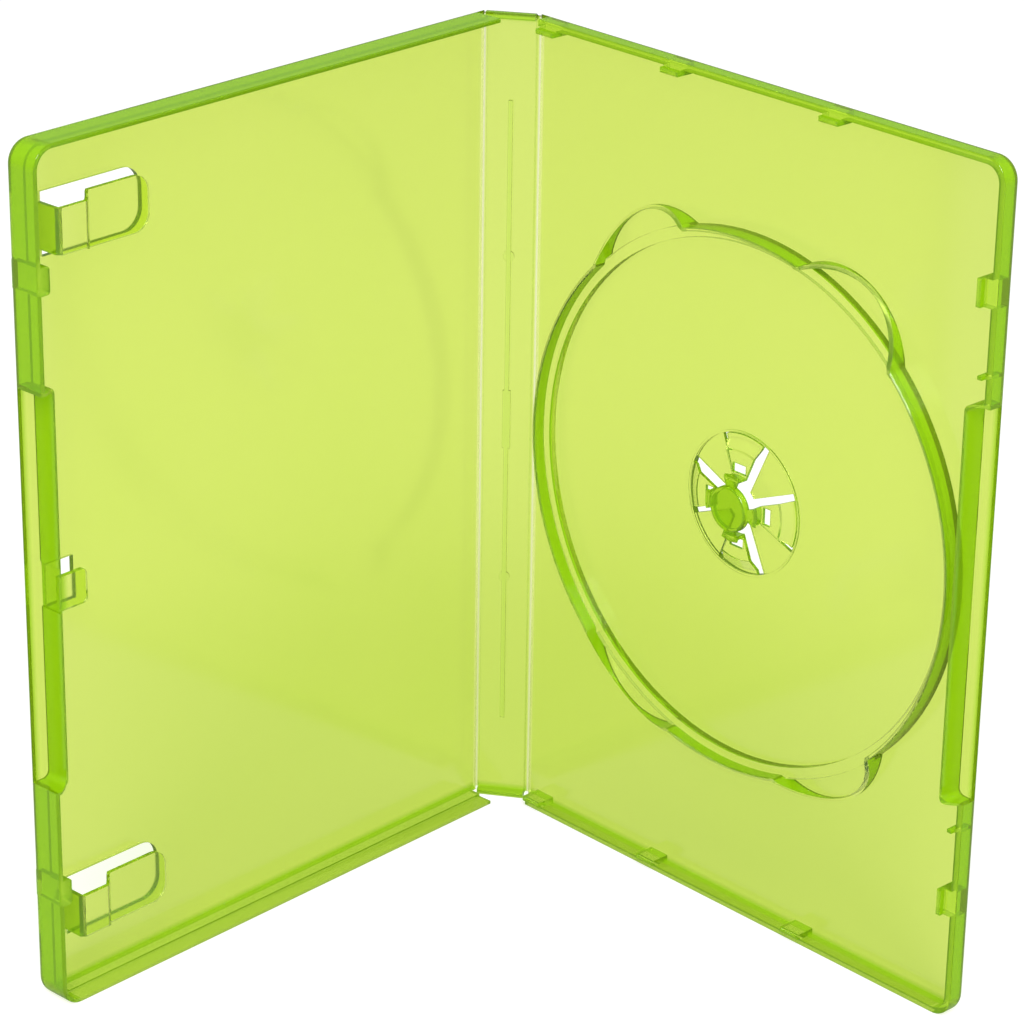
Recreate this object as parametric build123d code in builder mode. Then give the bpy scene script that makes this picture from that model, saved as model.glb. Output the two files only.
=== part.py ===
"""Game disc case: front cover, spine and disc tray of one clear moulding, with its hub button.

The case stands open like a book. Sizes are in millimetres and +Z is up. The origin is on the ground
under the middle of the open case. X runs from the spine to the free edge of the disc tray.
Each panel is drawn on its own plane: x along the panel, y up, and height counted from its outer face.
"""

import os
from math import cos, radians, sin

from build123d import *

# Closed case, outside
case_height = 190.0
case_width = 135.0
case_depth = 14.0

# Opening of each half, in degrees from lying flat with the spine
tray_turn = 35.4
cover_turn = 58.8

# Panels and side walls of the two halves
panel_thick = 1.2
wall_thick = 1.5
wall_start = 3.4
cover_rim = 8.8
seam_gap = 0.2
corner_radius = 5.0
edge_radius = 2.0
rim_radius = 0.35

# Stepped rim of the cover
step_height = 5.2
step_wall = 0.9

# Living hinges: a bead on each long edge of the spine, and a groove beside it
bead_radius = 0.35
hinge_gap = 0.1
web_thick = 0.45
web_reach = 1.0
web_slope = 0.3

# Finger recess in the free edge of both halves
recess_length = 87.6
recess_depth = 4.3
recess_wall = 0.6
recess_radius = 1.6

# Catches near the ends of the free edge: pads of the cover, and tabs of the tray that pass inside them
catch_offset = 67.6
catch_length = 6.0
catch_pad = 3.2
catch_radius = 0.8
catch_clearance = 0.15

# Locating tabs and pins of the tray
tab_thick = 1.15
tab_rise = 1.4
tab_clearance = 0.25
tab_lead = 0.3
tab_length = 5.2
tab_places = (6.4, 44.2, 89.2)
pin_length = 0.8
pin_offset = 50.25

# Booklet clips of the cover
clip_offset = 76.1
clip_arm_width = 9.7
clip_plate_width = 12.0
clip_thick = 1.0
clip_leg_out = 5.3
clip_high = 6.6
clip_low = 4.2
clip_step_out = 14.1
clip_tip_out = 31.2
clip_tip_radius = 3.8
clip_shoulder_radius = 0.5
clip_clearance = 0.75
clip_tip_clearance = 1.1

# Latch plate of the cover
latch_width = 7.6
latch_reach = 7.2
latch_thick = 1.2
latch_height = 5.4
latch_clearance = 0.9
latch_drop = 1.0
latch_flexure = 10.0

# Spine
spine_lip = 3.0
spine_lip_thick = 1.4
spine_lip_clearance = 0.3
spine_rib_width = 1.0
spine_rib_rise = 0.5
spine_rib_length = 150.0
spine_pad_width = 1.8
spine_pad_length = 14.0
ejector_diameter = 2.6
ejector_offset = 39.0
ejector_rise = 0.3

# Disc ring and its finger notches
disc_diameter = 120.0
disc_bore = 15.0
disc_thick = 1.2
hub_from_hinge = 66.0
hub_lift = 0.9
disc_clearance = 0.5
disc_overlap = 1.3
disc_seat = 1.95
ring_thick = 0.8
ring_over_disc = 1.65
ring_edge = 0.2
notch_angle = 30.0
notch_radius = 19.0
notch_reach = 5.9
notch_wall = 0.8
notch_rise = 0.3

# Hub
hub_radius = 15.9
hub_rim_width = 0.5
hub_rim_rise = 0.25
slit_width = 1.5
plate_thick = 0.8
petal_count = 4
petal_start = 0.4
petal_rise = 0.7
petal_tip_radius = 4.0
button_travel = 0.9
button_float = 0.05
button_clearance = 0.12
button_radius = 5.2
button_over_disc = 2.2
button_edge = 0.7
arm_root = 1.0
arm_slope = 2.4
tooth_clearance = 0.3
tooth_bite = 0.5
tooth_lift = 0.3
core_hole_long = 3.9
core_hole_wide = 2.2
core_hole_offset = 8.5

# Sizes that follow from the ones above
middle = case_height / 2
tray_rim = case_depth - cover_rim - seam_gap
recess_rim = (case_depth - seam_gap) / 2
axis_depth = bead_radius
spine_span = case_depth - 2 * axis_depth
reach = case_width - axis_depth
panel_start = bead_radius + hinge_gap
web_end = web_reach + web_slope
inner_wall = reach - wall_thick
pocket_wall = reach - recess_depth
set_in_wall = pocket_wall - recess_wall
catch_inset = catch_pad + catch_clearance
catch_inner = catch_inset + tab_thick
catch_lows = (middle - catch_offset - catch_length / 2, middle + catch_offset - catch_length / 2)
tab_inset = wall_thick + tab_clearance
tab_inner = tab_inset + tab_thick
pin_lows = (middle - pin_offset - pin_length / 2, middle + pin_offset - pin_length / 2)
clip_leg = inner_wall - clip_leg_out
clip_bend = inner_wall - clip_step_out
clip_tip = inner_wall - clip_tip_out
clip_crest = clip_high + clip_thick
clip_half_step = (clip_high - clip_low) / 2
clip_middles = (middle - clip_offset, middle + clip_offset)
latch_middle = middle - latch_drop
latch_tip = set_in_wall - latch_reach
lip_start = panel_thick - axis_depth + spine_lip_clearance
ring_inside = disc_diameter / 2 + disc_clearance
ring_outside = ring_inside + ring_thick
ledge_inside = disc_diameter / 2 - disc_overlap
seat_height = panel_thick + disc_seat
disc_top = seat_height + disc_thick
ring_top = disc_top + ring_over_disc
notch_end = ring_outside + notch_reach
notch_centre = notch_end - notch_radius
notch_x = notch_centre * sin(radians(notch_angle))
notch_y = notch_centre * cos(radians(notch_angle))
notch_points = ((notch_x, notch_y), (-notch_x, notch_y), (-notch_x, -notch_y), (notch_x, -notch_y))
half_wedge = 180.0 / petal_count / 2
button_root = hub_radius - button_clearance
button_start = button_travel + button_float
button_top = disc_top + button_over_disc
arm_foot = button_root - arm_root
arm_flat = arm_foot - arm_slope
tooth_radius = disc_bore / 2 - tooth_clearance
tooth_low = disc_top + tooth_lift
tooth_top = tooth_low + 2 * tooth_bite
crown_low = tooth_top - plate_thick

# Directions in plan. The tray runs along X, the spine and the cover turn away from it.
spine_angle = radians(180.0 + tray_turn)
cover_angle = radians(180.0 + tray_turn + cover_turn)
spine_way = (cos(spine_angle), sin(spine_angle))
cover_way = (cos(cover_angle), sin(cover_angle))
cover_inward = (-cover_way[1], cover_way[0])

# Hinge axes, set so that the open case stands centred on the origin
edge_run = (reach - edge_radius) * cover_way[1] + (edge_radius - axis_depth) * cover_inward[1]
span_x = reach + bead_radius - spine_span * spine_way[0]
span_y = bead_radius + edge_radius - spine_span * spine_way[1] - edge_run
tray_axis = (span_x / 2 - reach, span_y / 2 - bead_radius)
cover_axis = (tray_axis[0] + spine_span * spine_way[0], tray_axis[1] + spine_span * spine_way[1])


def panel_plane(axis, along, inward):
    """Plane on the outer face of a panel: x along the panel, y up, z towards the inside of the case."""
    origin = (axis[0] - axis_depth * inward[0], axis[1] - axis_depth * inward[1], 0)
    return Plane(origin=origin, x_dir=(along[0], along[1], 0), z_dir=(inward[0], inward[1], 0))


def section_plane(plane, place_x, place_y):
    """Plane across a panel at a point of it: x along the panel, y towards the inside of the case."""
    origin = plane.from_local_coords((place_x, place_y, 0))
    return Plane(origin=origin, x_dir=plane.x_dir, z_dir=(0, 0, -1))


tray_plane = panel_plane(tray_axis, (1, 0), (0, -1))
cover_plane = panel_plane(cover_axis, (-cover_way[0], -cover_way[1]), cover_inward)
spine_plane = panel_plane(cover_axis, (-spine_way[0], -spine_way[1]), (-spine_way[1], spine_way[0]))
spine_side = Plane(
    origin=spine_plane.from_local_coords((-bead_radius, 0, 0)), x_dir=(0, 0, 1), z_dir=spine_plane.x_dir
)
hub_section = section_plane(tray_plane, hub_from_hinge, middle + hub_lift)
hub_plane = Plane(origin=hub_section.origin, x_dir=tray_plane.x_dir, z_dir=tray_plane.z_dir)
hub_axis = Axis(hub_plane.origin, hub_plane.z_dir)


def block(side, start, end, low, high, mode=Mode.ADD):
    """Rectangle on a panel, from start to end away from the hinge and from low to high above the ground."""
    with Locations((side * (start + end) / 2, (low + high) / 2)):
        Rectangle(end - start, high - low, mode=mode)


def corners_at(sketch, side, distance):
    """Corners of a sketch at one distance from the hinge."""
    return sketch.vertices().filter_by(lambda corner: abs(side * corner.X - distance) < hinge_gap)


def recess_walls(plane, side, rim):
    """Thick bar along the finger recess, level in the middle and sloping to the plain wall outside it."""
    half_outside = recess_length / 2 + recess_wall
    wall_middle = reach - wall_thick / 2
    with BuildSketch(section_plane(plane, 0, middle + half_outside)) as profile:
        with BuildLine():
            Polyline(
                (side * set_in_wall, panel_thick / 2),
                (side * wall_middle, panel_thick / 2),
                (side * wall_middle, rim),
                (side * inner_wall, rim),
                (side * pocket_wall, recess_rim),
                (side * set_in_wall, recess_rim),
                close=True,
            )
        make_face()
    extrude(profile.sketch, amount=2 * half_outside)
    with BuildSketch(plane) as outline:
        block(side, set_in_wall, reach, middle - half_outside, middle + half_outside)
        fillet(corners_at(outline, side, set_in_wall), recess_radius)
    extrude(outline.sketch, amount=cover_rim, mode=Mode.INTERSECT)


def shell_half(plane, side, rim, steps, recess):
    """One half of the case: a shallow box with rounded outer edges, open along the hinge."""
    outward = Axis(plane.origin, plane.z_dir * -1)
    from_hinge = Axis(plane.origin, plane.x_dir * side)
    with BuildSketch(plane) as outline:
        block(side, panel_start, reach, 0, case_height)
        fillet(corners_at(outline, side, reach), corner_radius)
    extrude(outline.sketch, amount=rim)
    outer_face = faces().sort_by(outward)[-1]
    fillet(outer_face.edges().sort_by(from_hinge)[1:], edge_radius)
    rim_face = faces().sort_by(outward)[0]
    fillet(rim_face.edges().sort_by(from_hinge)[1:], rim_radius)

    # Space inside the walls, one step at a time
    for start, inset in steps:
        with BuildSketch(plane.offset(start)) as inside:
            block(side, wall_start, reach - inset, inset, case_height - inset)
            fillet(corners_at(inside, side, reach - inset), corner_radius - inset)
            block(side, 0, wall_start, -panel_thick, case_height + panel_thick)
        extrude(inside.sketch, amount=rim, mode=Mode.SUBTRACT)

    # Finger recess, cut into its bar so that a thin wall is left round it
    add(recess)
    half_recess = recess_length / 2
    with BuildSketch(plane.offset(panel_thick)) as pocket:
        block(side, pocket_wall, case_width, middle - half_recess, middle + half_recess)
        fillet(corners_at(pocket, side, pocket_wall), recess_radius)
    extrude(pocket.sketch, amount=cover_rim, mode=Mode.SUBTRACT)


def tab_outline(edge_inset, inset_at_catch):
    """Footprints of the tabs and pins of the tray, from an inset to the inner face of each."""
    for place in tab_places:
        for low in (edge_inset, case_height - tab_inner):
            block(1, place - tab_length / 2, place + tab_length / 2, low, low + tab_inner - edge_inset)
    for low in pin_lows:
        block(1, reach - tab_inner, reach - edge_inset, low, low + pin_length)
    for low in catch_lows:
        block(1, reach - catch_inner, reach - inset_at_catch, low, low + catch_length)


def hub_wedges(first_angle):
    """Wedges round the hub centre, with half a slit left free on both sides of each."""
    tip = slit_width / 2 / sin(radians(half_wedge))
    far_x = tip + 2 * hub_radius * cos(radians(half_wedge))
    far_y = 2 * hub_radius * sin(radians(half_wedge))
    with PolarLocations(0, petal_count, start_angle=first_angle):
        Polygon((tip, 0), (far_x, -far_y), (far_x, far_y), align=None)


def hub_turning(*points):
    """Solid turned round the hub axis, from points given as radius and height."""
    with BuildSketch(hub_section) as profile:
        with BuildLine():
            Polyline(*points, close=True)
        make_face()
    revolve(profile.sketch, axis=hub_axis)


os.makedirs("parts", exist_ok=True)

# Booklet clips of the cover: a leg, an arm with one step down, and a wider plate with a rounded tip
with BuildPart() as booklet_clips:
    clip_line = (
        (-clip_leg, panel_thick / 2),
        (-clip_leg, clip_high),
        (-clip_leg + clip_thick, clip_crest),
        (-clip_bend - clip_half_step, clip_crest),
        (-clip_bend + clip_half_step, clip_low + clip_thick),
        (-clip_tip, clip_low + clip_thick),
        (-clip_tip, clip_low),
        (-clip_bend + clip_half_step, clip_low),
        (-clip_bend - clip_half_step, clip_high),
        (-clip_leg + clip_thick, clip_high),
        (-clip_leg + clip_thick, panel_thick / 2),
    )
    for clip_middle in clip_middles:
        with BuildSketch(section_plane(cover_plane, 0, clip_middle + clip_plate_width / 2)):
            with BuildLine():
                Polyline(*clip_line, close=True)
            make_face()
        extrude(amount=clip_plate_width)
    with BuildSketch(cover_plane) as clip_plan:
        for clip_middle in clip_middles:
            for start, end, width in (
                (clip_tip, clip_bend, clip_plate_width),
                (clip_bend, clip_leg, clip_arm_width),
            ):
                block(-1, start, end, clip_middle - width / 2, clip_middle + width / 2)
        fillet(corners_at(clip_plan, -1, clip_tip), clip_tip_radius)
        fillet(corners_at(clip_plan, -1, clip_bend), clip_shoulder_radius)
    extrude(amount=cover_rim, mode=Mode.INTERSECT)

with BuildPart() as cover_recess:
    recess_walls(cover_plane, -1, cover_rim)

# Front cover: the deep half, with its stepped rim
with BuildPart() as front_cover:
    shell_half(
        cover_plane, -1, cover_rim, ((panel_thick, wall_thick), (step_height, step_wall)), cover_recess.part
    )

    # Catch pads, from the panel up to the rim
    with BuildSketch(cover_plane.offset(panel_thick / 2)) as pads:
        for catch_low in catch_lows:
            block(-1, reach - catch_pad, reach - step_wall / 2, catch_low, catch_low + catch_length)
        fillet(corners_at(pads, -1, reach - catch_pad), catch_radius)
    extrude(amount=cover_rim - panel_thick / 2)

    # Windows under the booklet clips and under the latch plate, then the clips
    half_window = clip_plate_width / 2 + clip_clearance
    window_tip = clip_tip - clip_tip_clearance
    half_latch = latch_width / 2
    with BuildSketch(cover_plane) as windows:
        for clip_middle in clip_middles:
            block(-1, window_tip, clip_leg - clip_thick, clip_middle - half_window, clip_middle + half_window)
        fillet(corners_at(windows, -1, window_tip), clip_tip_radius + clip_clearance)
        block(
            -1,
            latch_tip - latch_clearance,
            set_in_wall - latch_clearance,
            latch_middle - half_latch - latch_clearance,
            latch_middle + half_latch + latch_clearance,
        )
    extrude(amount=panel_thick, mode=Mode.SUBTRACT)
    add(booklet_clips.part)

    # Latch plate, standing out from the set-in wall, which is thinned beside it so that it can bend
    with BuildSketch(cover_plane.offset(latch_height)) as latch:
        block(-1, latch_tip, set_in_wall + recess_wall / 2, latch_middle - half_latch, latch_middle + half_latch)
        fillet(corners_at(latch, -1, latch_tip), latch_thick)
    extrude(amount=latch_thick)
    with BuildSketch(cover_plane.offset(panel_thick)):
        half_flexure = latch_flexure / 2
        block(-1, pocket_wall - recess_wall / 2, pocket_wall, middle - half_flexure, middle + half_flexure)
    extrude(amount=recess_rim, mode=Mode.SUBTRACT)
front_cover.part.label = "front_cover"
export_step(front_cover.part, "parts/front_cover.step")

# Spine: a strip with a groove and a hinge bead along each long edge
with BuildPart() as spine:
    with BuildSketch(section_plane(spine_plane, 0, case_height)):
        with BuildLine():
            Polyline(
                (0, 0),
                (0, web_thick),
                (web_reach, web_thick),
                (web_end, panel_thick),
                (spine_span - web_end, panel_thick),
                (spine_span - web_reach, web_thick),
                (spine_span, web_thick),
                (spine_span, 0),
                close=True,
            )
        make_face()
        with Locations((0, axis_depth), (spine_span, axis_depth)):
            Circle(bead_radius)
    extrude(amount=case_height)

    # End lips, centre rib with its thicker middle, and ejector pads
    with BuildSketch(spine_plane):
        block(1, lip_start, spine_span - lip_start, 0, spine_lip_thick)
        block(1, lip_start, spine_span - lip_start, case_height - spine_lip_thick, case_height)
    extrude(amount=spine_lip)
    with BuildSketch(spine_plane.offset(panel_thick)):
        with Locations((spine_span / 2, middle)):
            Rectangle(spine_rib_width, spine_rib_length)
            Rectangle(spine_pad_width, spine_pad_length)
    extrude(amount=spine_rib_rise)
    with BuildSketch(spine_plane.offset(panel_thick)):
        with Locations((spine_span / 2, middle - ejector_offset), (spine_span / 2, middle + ejector_offset)):
            Circle(ejector_diameter / 2)
    extrude(amount=ejector_rise)

    # Outer corners at both ends, rounded like those of the two halves
    with BuildSketch(spine_side):
        with Locations((edge_radius / 2, edge_radius / 2), (case_height - edge_radius / 2, edge_radius / 2)):
            Rectangle(edge_radius, edge_radius)
        with Locations((edge_radius, edge_radius), (case_height - edge_radius, edge_radius)):
            Circle(edge_radius, mode=Mode.SUBTRACT)
    extrude(amount=case_depth, mode=Mode.SUBTRACT)
spine.part.label = "spine"
export_step(spine.part, "parts/spine.step")

# Lifter petals of the hub: sloping wedges that belong to the tray
with BuildPart() as lifter_petals:
    petal_root = hub_radius + hub_rim_width
    hub_turning(
        (0, petal_start + petal_rise),
        (petal_root, petal_start),
        (petal_root, petal_start + plate_thick),
        (0, petal_start + petal_rise + plate_thick),
    )
    with BuildSketch(hub_plane):
        hub_wedges(2 * half_wedge)
        Circle(petal_tip_radius, mode=Mode.SUBTRACT)
    extrude(amount=tray_rim, mode=Mode.INTERSECT)

# Walls of the finger notches: arcs outside the disc ring, falling from its top to just above the panel
with BuildPart() as notch_walls:
    hub_turning(
        (ring_inside, panel_thick / 2),
        (notch_end, panel_thick / 2),
        (notch_end, panel_thick + notch_rise),
        (ring_outside, ring_top),
        (ring_inside, ring_top),
    )
    with BuildSketch(hub_plane):
        with Locations(*notch_points):
            Circle(notch_radius)
            Circle(notch_radius - notch_wall, mode=Mode.SUBTRACT)
    extrude(amount=ring_top, mode=Mode.INTERSECT)

# Tabs of the tray: joined to the wall up to its rim, then set in to pass inside the cover
with BuildPart() as tray_tabs:
    for tab_top, edge_inset, inset_at_catch in (
        (tray_rim, wall_thick / 2, wall_thick / 2),
        (tray_rim + tab_rise, tab_inset, catch_inset),
    ):
        with BuildSketch(tray_plane.offset(panel_thick / 2)):
            tab_outline(edge_inset, inset_at_catch)
        extrude(amount=tab_top - panel_thick / 2)
    chamfer(faces().group_by(hub_axis)[-1].edges(), tab_lead)

with BuildPart() as tray_recess:
    recess_walls(tray_plane, 1, tray_rim)

# Disc tray: the shallow half
with BuildPart() as disc_tray:
    shell_half(tray_plane, 1, tray_rim, ((panel_thick, wall_thick),), tray_recess.part)
    add(tray_tabs.part)

    # Disc ring with a ledge inside it, cut down to the ledge at the finger notches
    hub_turning(
        (ledge_inside, panel_thick / 2),
        (ring_outside, panel_thick / 2),
        (ring_outside, ring_top - ring_edge),
        (ring_outside - ring_edge, ring_top),
        (ring_inside + ring_edge, ring_top),
        (ring_inside, ring_top - ring_edge),
        (ring_inside, seat_height),
        (ledge_inside, seat_height),
    )
    with BuildSketch(hub_plane.offset(seat_height)):
        with Locations(*notch_points):
            Circle(notch_radius - notch_wall)
        Circle(ledge_inside, mode=Mode.SUBTRACT)
    extrude(amount=ring_top - seat_height, mode=Mode.SUBTRACT)
    add(notch_walls.part)

    # Hub hole with a low rim round it, and the lifter petals in it
    with BuildSketch(hub_plane):
        Circle(hub_radius)
    extrude(amount=panel_thick, mode=Mode.SUBTRACT)
    with BuildSketch(hub_plane.offset(panel_thick)):
        Circle(hub_radius + hub_rim_width)
        Circle(hub_radius, mode=Mode.SUBTRACT)
    extrude(amount=hub_rim_rise)
    add(lifter_petals.part)
disc_tray.part.label = "disc_tray"
export_step(disc_tray.part, "parts/disc_tray.step")

# Hub button: four arms that rise to the seat of the disc and end in hooked teeth
with BuildPart() as hub_button:
    arm_low = seat_height - plate_thick
    hub_turning(
        (0, arm_low),
        (arm_flat, arm_low),
        (arm_foot, button_start),
        (button_root, button_start),
        (button_root, button_start + plate_thick),
        (arm_foot, button_start + plate_thick),
        (arm_flat, seat_height),
        (tooth_radius, seat_height),
        (tooth_radius, tooth_low),
        (tooth_radius + tooth_bite, tooth_low + tooth_bite),
        (tooth_radius, tooth_top),
        (0, tooth_top),
    )
    with BuildSketch(hub_plane):
        hub_wedges(0)
    extrude(amount=button_top, mode=Mode.INTERSECT)

    # Holes of the mould cores under the teeth, and the hollow inside the crown
    with BuildSketch(hub_plane):
        with PolarLocations(core_hole_offset, petal_count):
            Rectangle(core_hole_wide, core_hole_long)
        Circle(tooth_radius, mode=Mode.SUBTRACT)
    extrude(amount=tooth_low, mode=Mode.SUBTRACT)
    with BuildSketch(hub_plane):
        Circle(tooth_radius - plate_thick)
    extrude(amount=crown_low, mode=Mode.SUBTRACT)

    # Cap of the crown, hollow underneath
    with BuildSketch(hub_plane.offset(crown_low)):
        Circle(button_radius)
    extrude(amount=button_top - crown_low)
    fillet(faces().sort_by(hub_axis)[-1].edges(), button_edge)
    with BuildSketch(hub_plane):
        Circle(button_radius - plate_thick)
    extrude(amount=button_top - plate_thick, mode=Mode.SUBTRACT)
hub_button.part.label = "hub_button"
export_step(hub_button.part, "parts/hub_button.step")
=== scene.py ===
from math import cos, radians, sin

import bpy
import numpy as np
from mathutils import Matrix

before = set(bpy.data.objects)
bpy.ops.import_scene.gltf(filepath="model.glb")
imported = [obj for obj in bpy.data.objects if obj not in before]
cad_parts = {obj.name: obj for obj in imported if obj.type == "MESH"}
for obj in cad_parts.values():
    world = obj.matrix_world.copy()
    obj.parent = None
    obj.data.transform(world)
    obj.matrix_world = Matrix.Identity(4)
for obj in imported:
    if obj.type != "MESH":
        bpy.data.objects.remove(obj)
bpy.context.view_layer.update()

# Disc tray
# The shallow half of the case, injection moulded in clear lime-green polypropylene in one shot with the rest.
# Its thin panel lets light straight through and looks pale, while its walls, rims and cut edges gather light
# along their depth and glow a deep, slightly milky green.

case_height = 0.190
panel_reach = 0.13465
tray_hinge = np.array([-0.0617294, 0.0707637, 0.0])
tray_along = np.array([1.0, 0.0, 0.0])
tray_inward = np.array([0.0, -1.0, 0.0])
far_away = 1.0

# Where the plastic turns deep, or pale with a painted highlight along the hinge. Each pair runs from none to
# full, in metres from the panel, its edge or its hinge. The pair for cut edges is the square of how far a
# face looks inward.
wall_zone = 0.0055
zone_fade = 0.0015
wall_rise = (0.0009, 0.0013)
rim_strip = (0.0024, 0.0008)
hinge_strip = (0.0009, 0.0005)
cut_facing = (0.6, 0.3)

panel_tint = (0.77, 0.94, 0.175, 1.0)
flow_tint = (0.80, 0.95, 0.19, 1.0)
wall_tint = (0.52, 0.84, 0.03, 1.0)
# Near white along the hinges: paler for the thin plastic there, and a painted highlight.
thin_hinge_and_highlight_tint = (0.97, 1.0, 0.62, 1.0)
milky_tint = (0.37, 0.69, 0.005, 1.0)
shadow_tint = (0.70, 0.80, 0.25, 1.0)
milky_share = 0.30
milky_roughness = 0.35
clear_roughness = 0.07
flow_roughness = 0.06
flow_scale = 28.0
flow_detail = 1.0
refractive_index = 1.49
see_through = 0.96


class Wire:
    """A socket in a node tree, so that sums and products of values can be written as plain expressions."""

    def __init__(self, tree, socket=None):
        self.tree = tree
        self.socket = socket

    def node(self, kind, settings=None, sockets=None, output=0):
        """Adds a node of a kind, sets it up, feeds its sockets, and gives one of its outputs."""
        made = self.tree.nodes.new(kind)
        for name, value in (settings or {}).items():
            setattr(made, name, value)
        for name, value in (sockets or {}).items():
            if isinstance(value, Wire):
                self.tree.links.new(value.socket, made.inputs[name])
            else:
                made.inputs[name].default_value = value
        return Wire(self.tree, made.outputs[output] if made.outputs else None)

    def math(self, operation, first, second):
        """One operation on two values."""
        return self.node("ShaderNodeMath", {"operation": operation}, {0: first, 1: second})

    def __add__(self, other):
        return self.math("ADD", self, other)

    __radd__ = __add__

    def __sub__(self, other):
        return self.math("SUBTRACT", self, other)

    def __rsub__(self, other):
        return self.math("SUBTRACT", other, self)

    def __mul__(self, other):
        return self.math("MULTIPLY", self, other)

    __rmul__ = __mul__

    def at_most(self, other):
        """The smaller of two values."""
        return self.math("MINIMUM", self, other)

    def along(self, direction):
        """The length of a vector in a direction."""
        sockets = {0: self, 1: direction}
        return self.node("ShaderNodeVectorMath", {"operation": "DOT_PRODUCT"}, sockets, output="Value")

    def ramp(self, none, full):
        """Zero at the first value, one at the second and a straight line between."""
        return self.node("ShaderNodeMapRange", None, {"Value": self, "From Min": none, "From Max": full})

    def mix(self, first, second):
        """The first colour at zero and the second at one."""
        return self.node("ShaderNodeMix", {"data_type": "RGBA"}, {0: self, 6: first, 7: second}, output=2)


def empty_nodes(holder):
    """Clears the nodes of a material or a world, and gives a wire to build new ones with."""
    holder.use_nodes = True
    holder.node_tree.nodes.clear()
    return Wire(holder.node_tree)


def clear_plastic(
    name, hinge, along, inward,
    reach=panel_reach, hinge_span=far_away, deep_zone=wall_zone, deep_rise=wall_rise, cut_share=1.0,
):
    """Clear plastic for a panel that runs along one way from its hinge and rises inward into the case.

    Parts in the zone along the panel's edges are wall where they rise past the two heights, a narrow strip at
    the edge is rim, and faces that stand square to the panel are cut edges: all three are deep and milky.
    The hinge itself is pale, partly for its thinner plastic and partly as a painted highlight along it.
    """
    material = bpy.data.materials.new(name)
    start = empty_nodes(material)
    place = start.node("ShaderNodeTexCoord", output="Object")
    upright = start.node("ShaderNodeSeparateXYZ", sockets={0: place}, output=2)
    run = place.along(along) - float(hinge @ along)
    rise = place.along(inward) - float(hinge @ inward)
    to_edge = upright.at_most(case_height - upright).at_most(reach - run)
    in_wall = rise.ramp(*deep_rise) * to_edge.ramp(deep_zone + zone_fade, deep_zone)
    at_rim = to_edge.ramp(*rim_strip)
    facing = start.node("ShaderNodeTexCoord", output="Normal").along(inward)
    at_cut = (facing * facing).ramp(*cut_facing) * cut_share
    at_hinge = run.at_most(hinge_span - run).ramp(*hinge_strip)
    in_depth = (in_wall + at_rim + at_cut).at_most(1.0) * (1.0 - at_hinge)
    flow_inputs = {"Vector": place, "Scale": flow_scale, "Detail": flow_detail}
    flow = start.node("ShaderNodeTexNoise", sockets=flow_inputs)
    tint = flow.mix(panel_tint, flow_tint)
    tint = in_depth.mix(tint, wall_tint)
    # Painted highlight: the hinge strip is painted near white, partly also for the thin plastic there.
    tint = at_hinge.mix(tint, thin_hinge_and_highlight_tint)
    clear = start.node(
        "ShaderNodeBsdfPrincipled",
        sockets={
            "Base Color": tint,
            "Roughness": clear_roughness + flow * flow_roughness,
            "IOR": refractive_index,
            "Transmission Weight": see_through,
        },
    )
    milky = start.node(
        "ShaderNodeBsdfPrincipled",
        sockets={"Base Color": milky_tint, "Roughness": milky_roughness, "Specular IOR Level": 0.0},
    )
    plastic = start.node("ShaderNodeMixShader", sockets={0: in_depth * milky_share, 1: clear, 2: milky})
    for_lamps = start.node("ShaderNodeBsdfTransparent", sockets={"Color": shadow_tint})
    is_shadow = start.node("ShaderNodeLightPath", output="Is Shadow Ray")
    shell = start.node("ShaderNodeMixShader", sockets={0: is_shadow, 1: plastic, 2: for_lamps})
    start.node("ShaderNodeOutputMaterial", sockets={"Surface": shell})
    return material


def finish_in(piece, material):
    """Gives a piece one material all over."""
    piece.data.materials.clear()
    piece.data.materials.append(material)


tray_plastic = clear_plastic("tray_plastic", tray_hinge, tray_along, tray_inward)
finish_in(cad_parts["disc_tray"], tray_plastic)

# Hub button
# The crowned middle of the hub, moulded with the tray and cut free of it by slits, so that it gives when
# pressed. It is the same clear plastic. Its crown is thick for its size, so it is deep and milky, and its
# arms are pale.

crown_rise = (0.0035, 0.0050)
hub_plastic = clear_plastic(
    "hub_plastic", tray_hinge, tray_along, tray_inward, deep_zone=far_away, deep_rise=crown_rise
)
finish_in(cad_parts["hub_button"], hub_plastic)

# Spine
# The narrow strip between the two halves, moulded with them and joined by hinges thin enough to bend.
# The plastic is palest along those two hinges, where it is thin and a highlight is painted along them, a
# little deeper in the low rib and deepest in the end lips.

tray_opening = radians(35.4)
half_turn = radians(180.0)
quarter_turn = radians(90.0)
spine_span = 0.0133
lip_rise = (0.0009, 0.0024)
rib_cut_share = 0.3


def heading(turn):
    """The level direction at an angle about the vertical."""
    return np.array([cos(turn), sin(turn), 0.0])


spine_turn = half_turn + tray_opening
spine_along = heading(spine_turn)
spine_inward = heading(spine_turn + quarter_turn)
spine_plastic = clear_plastic(
    "spine_plastic", tray_hinge, spine_along, spine_inward,
    reach=far_away, hinge_span=spine_span, deep_zone=far_away, deep_rise=lip_rise, cut_share=rib_cut_share,
)
finish_in(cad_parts["spine"], spine_plastic)

# Front cover
# The deep half, with the booklet clips and the latch plate moulded over windows in its panel.
# It is the same clear plastic, and it swings on the far edge of the spine.

cover_opening = radians(58.8)
cover_turn = spine_turn + cover_opening
cover_along = heading(cover_turn)
cover_inward = heading(cover_turn + quarter_turn)
cover_hinge = tray_hinge + spine_along * spine_span
cover_plastic = clear_plastic("cover_plastic", cover_hinge, cover_along, cover_inward)
finish_in(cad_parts["front_cover"], cover_plastic)

# Table and light
# A plain pale table in a white room. One large soft lamp stands behind the camera and above it, so that the
# shadow of the case falls on the table behind it and shows through the lower part of the panels.

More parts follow.
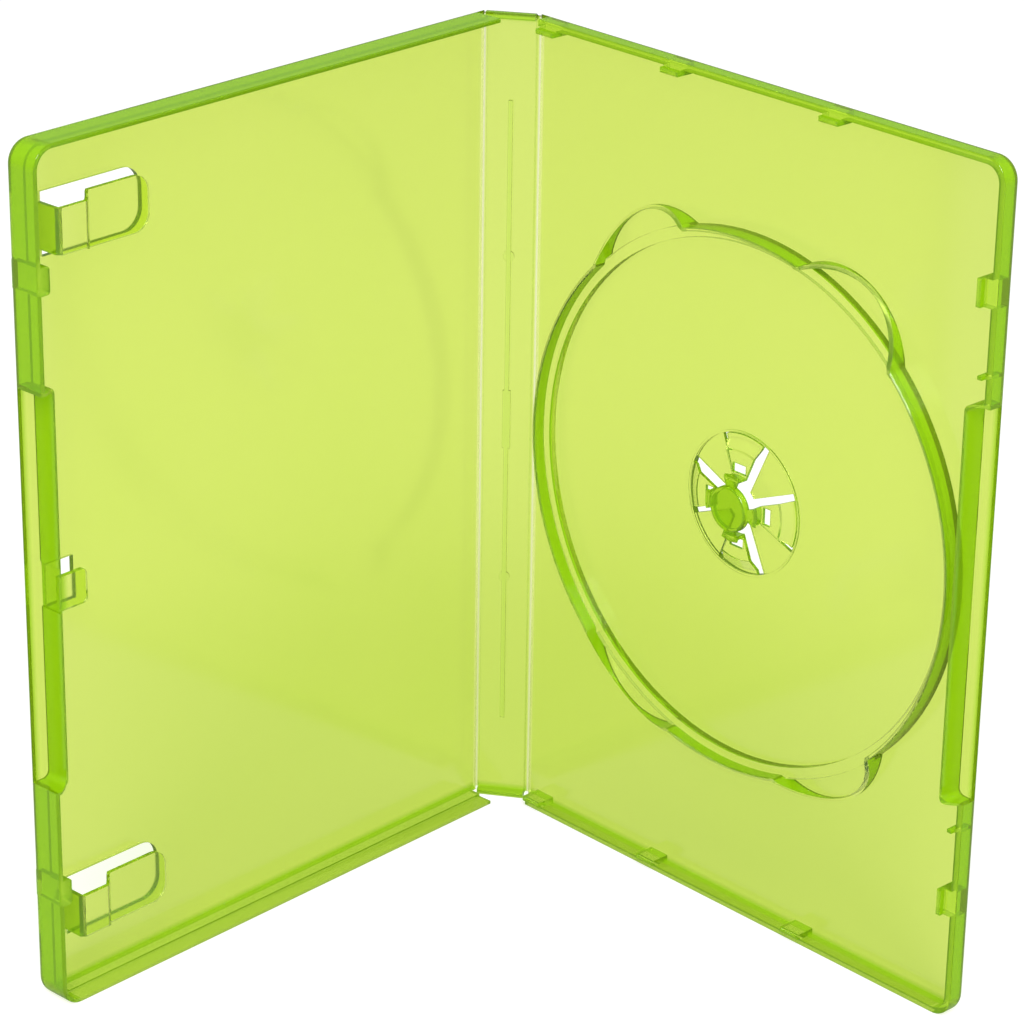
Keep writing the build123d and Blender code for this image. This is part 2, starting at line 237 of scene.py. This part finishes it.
scene = bpy.context.scene
white = (1.0, 1.0, 1.0, 1.0)
table_size = 6.0
table_grey = (0.5, 0.5, 0.5, 1.0)
table_roughness = 0.9
room_level = 0.35
straight_glow = 0.65
mirrored_glow = 0.05
through_glow = 0.40
lamp_width = 1.5
lamp_watts = 100.0
lamp_place = (1.554, -1.442, 2.12)
lamp_tilt = radians(45.0)
lamp_turn = radians(47.1)

table_edges = np.array([-0.5, 0.5]) * table_size
grid_x, grid_y = np.meshgrid(table_edges, table_edges)
table_points = np.stack([grid_x.ravel(), grid_y.ravel(), np.zeros(grid_x.size)], axis=1)
table_mesh = bpy.data.meshes.new("table_top")
table_mesh.from_pydata(table_points.tolist(), [], [(0, 1, 3, 2)])
floor = bpy.data.objects.new("table_top", table_mesh)
scene.collection.objects.link(floor)


def backdrop_glow(start):
    """What is added to a white background where the camera sees it, straight, mirrored or through plastic."""
    straight = start.node("ShaderNodeLightPath", output="Is Camera Ray")
    mirrored = start.node("ShaderNodeLightPath", output="Is Glossy Ray")
    through = start.node("ShaderNodeLightPath", output="Is Transmission Ray")
    return straight * straight_glow + mirrored * mirrored_glow + through * through_glow


pale_table = bpy.data.materials.new("pale_table")
table_nodes = empty_nodes(pale_table)
table_surface = table_nodes.node(
    "ShaderNodeBsdfPrincipled",
    sockets={
        "Base Color": table_grey,
        "Roughness": table_roughness,
        "Specular IOR Level": 0.0,
        "Emission Color": white,
        "Emission Strength": backdrop_glow(table_nodes),
    },
)
table_nodes.node("ShaderNodeOutputMaterial", sockets={"Surface": table_surface})
finish_in(floor, pale_table)

room = bpy.data.worlds.new("white_room")
room_nodes = empty_nodes(room)
room_light = room_level + backdrop_glow(room_nodes)
room_walls = room_nodes.node("ShaderNodeBackground", sockets={"Color": white, "Strength": room_light})
room_nodes.node("ShaderNodeOutputWorld", sockets={"Surface": room_walls})
scene.world = room

softbox = bpy.data.lights.new("softbox", "AREA")
softbox.size = lamp_width
softbox.energy = lamp_watts
softbox_holder = bpy.data.objects.new("softbox", softbox)
softbox_holder.location = lamp_place
softbox_holder.rotation_euler = (lamp_tilt, 0.0, lamp_turn)
scene.collection.objects.link(softbox_holder)

# Camera
# Set up in front of the open case and above it, where the photograph was taken from.
# The case is clear, so light is followed through many of its faces, but not focused on the table by them.

picture_pixels = 1024
focal_pixels = 3776.3
film_width = 36.0
nearest_seen = 0.01
camera_place = (0.51383, -0.47619, 0.41147)
camera_turn = radians(46.828)
camera_drop = radians(23.132)
camera_roll = radians(0.863)
through_bounces = 10
mirror_bounces = 8
scatter_bounces = 2

across = heading(camera_turn)
ahead = heading(camera_turn + quarter_turn) * cos(camera_drop) - np.array([0.0, 0.0, sin(camera_drop)])
upward = np.cross(across, ahead)
right = cos(camera_roll) * across + sin(camera_roll) * upward
top = cos(camera_roll) * upward - sin(camera_roll) * across
lens = bpy.data.cameras.new("camera")
lens.sensor_width = film_width
lens.lens = focal_pixels / picture_pixels * film_width
lens.clip_start = nearest_seen
viewer = bpy.data.objects.new("camera", lens)
camera_pose = np.eye(4)
camera_pose[:3] = np.column_stack([right, top, -ahead, camera_place])
viewer.matrix_world = Matrix(camera_pose.tolist())
scene.collection.objects.link(viewer)
scene.camera = viewer
scene.view_settings.view_transform = "Standard"
scene.cycles.caustics_reflective = False
scene.cycles.caustics_refractive = False
scene.cycles.max_bounces = through_bounces
scene.cycles.transmission_bounces = through_bounces
scene.cycles.glossy_bounces = mirror_bounces
scene.cycles.diffuse_bounces = scatter_bounces
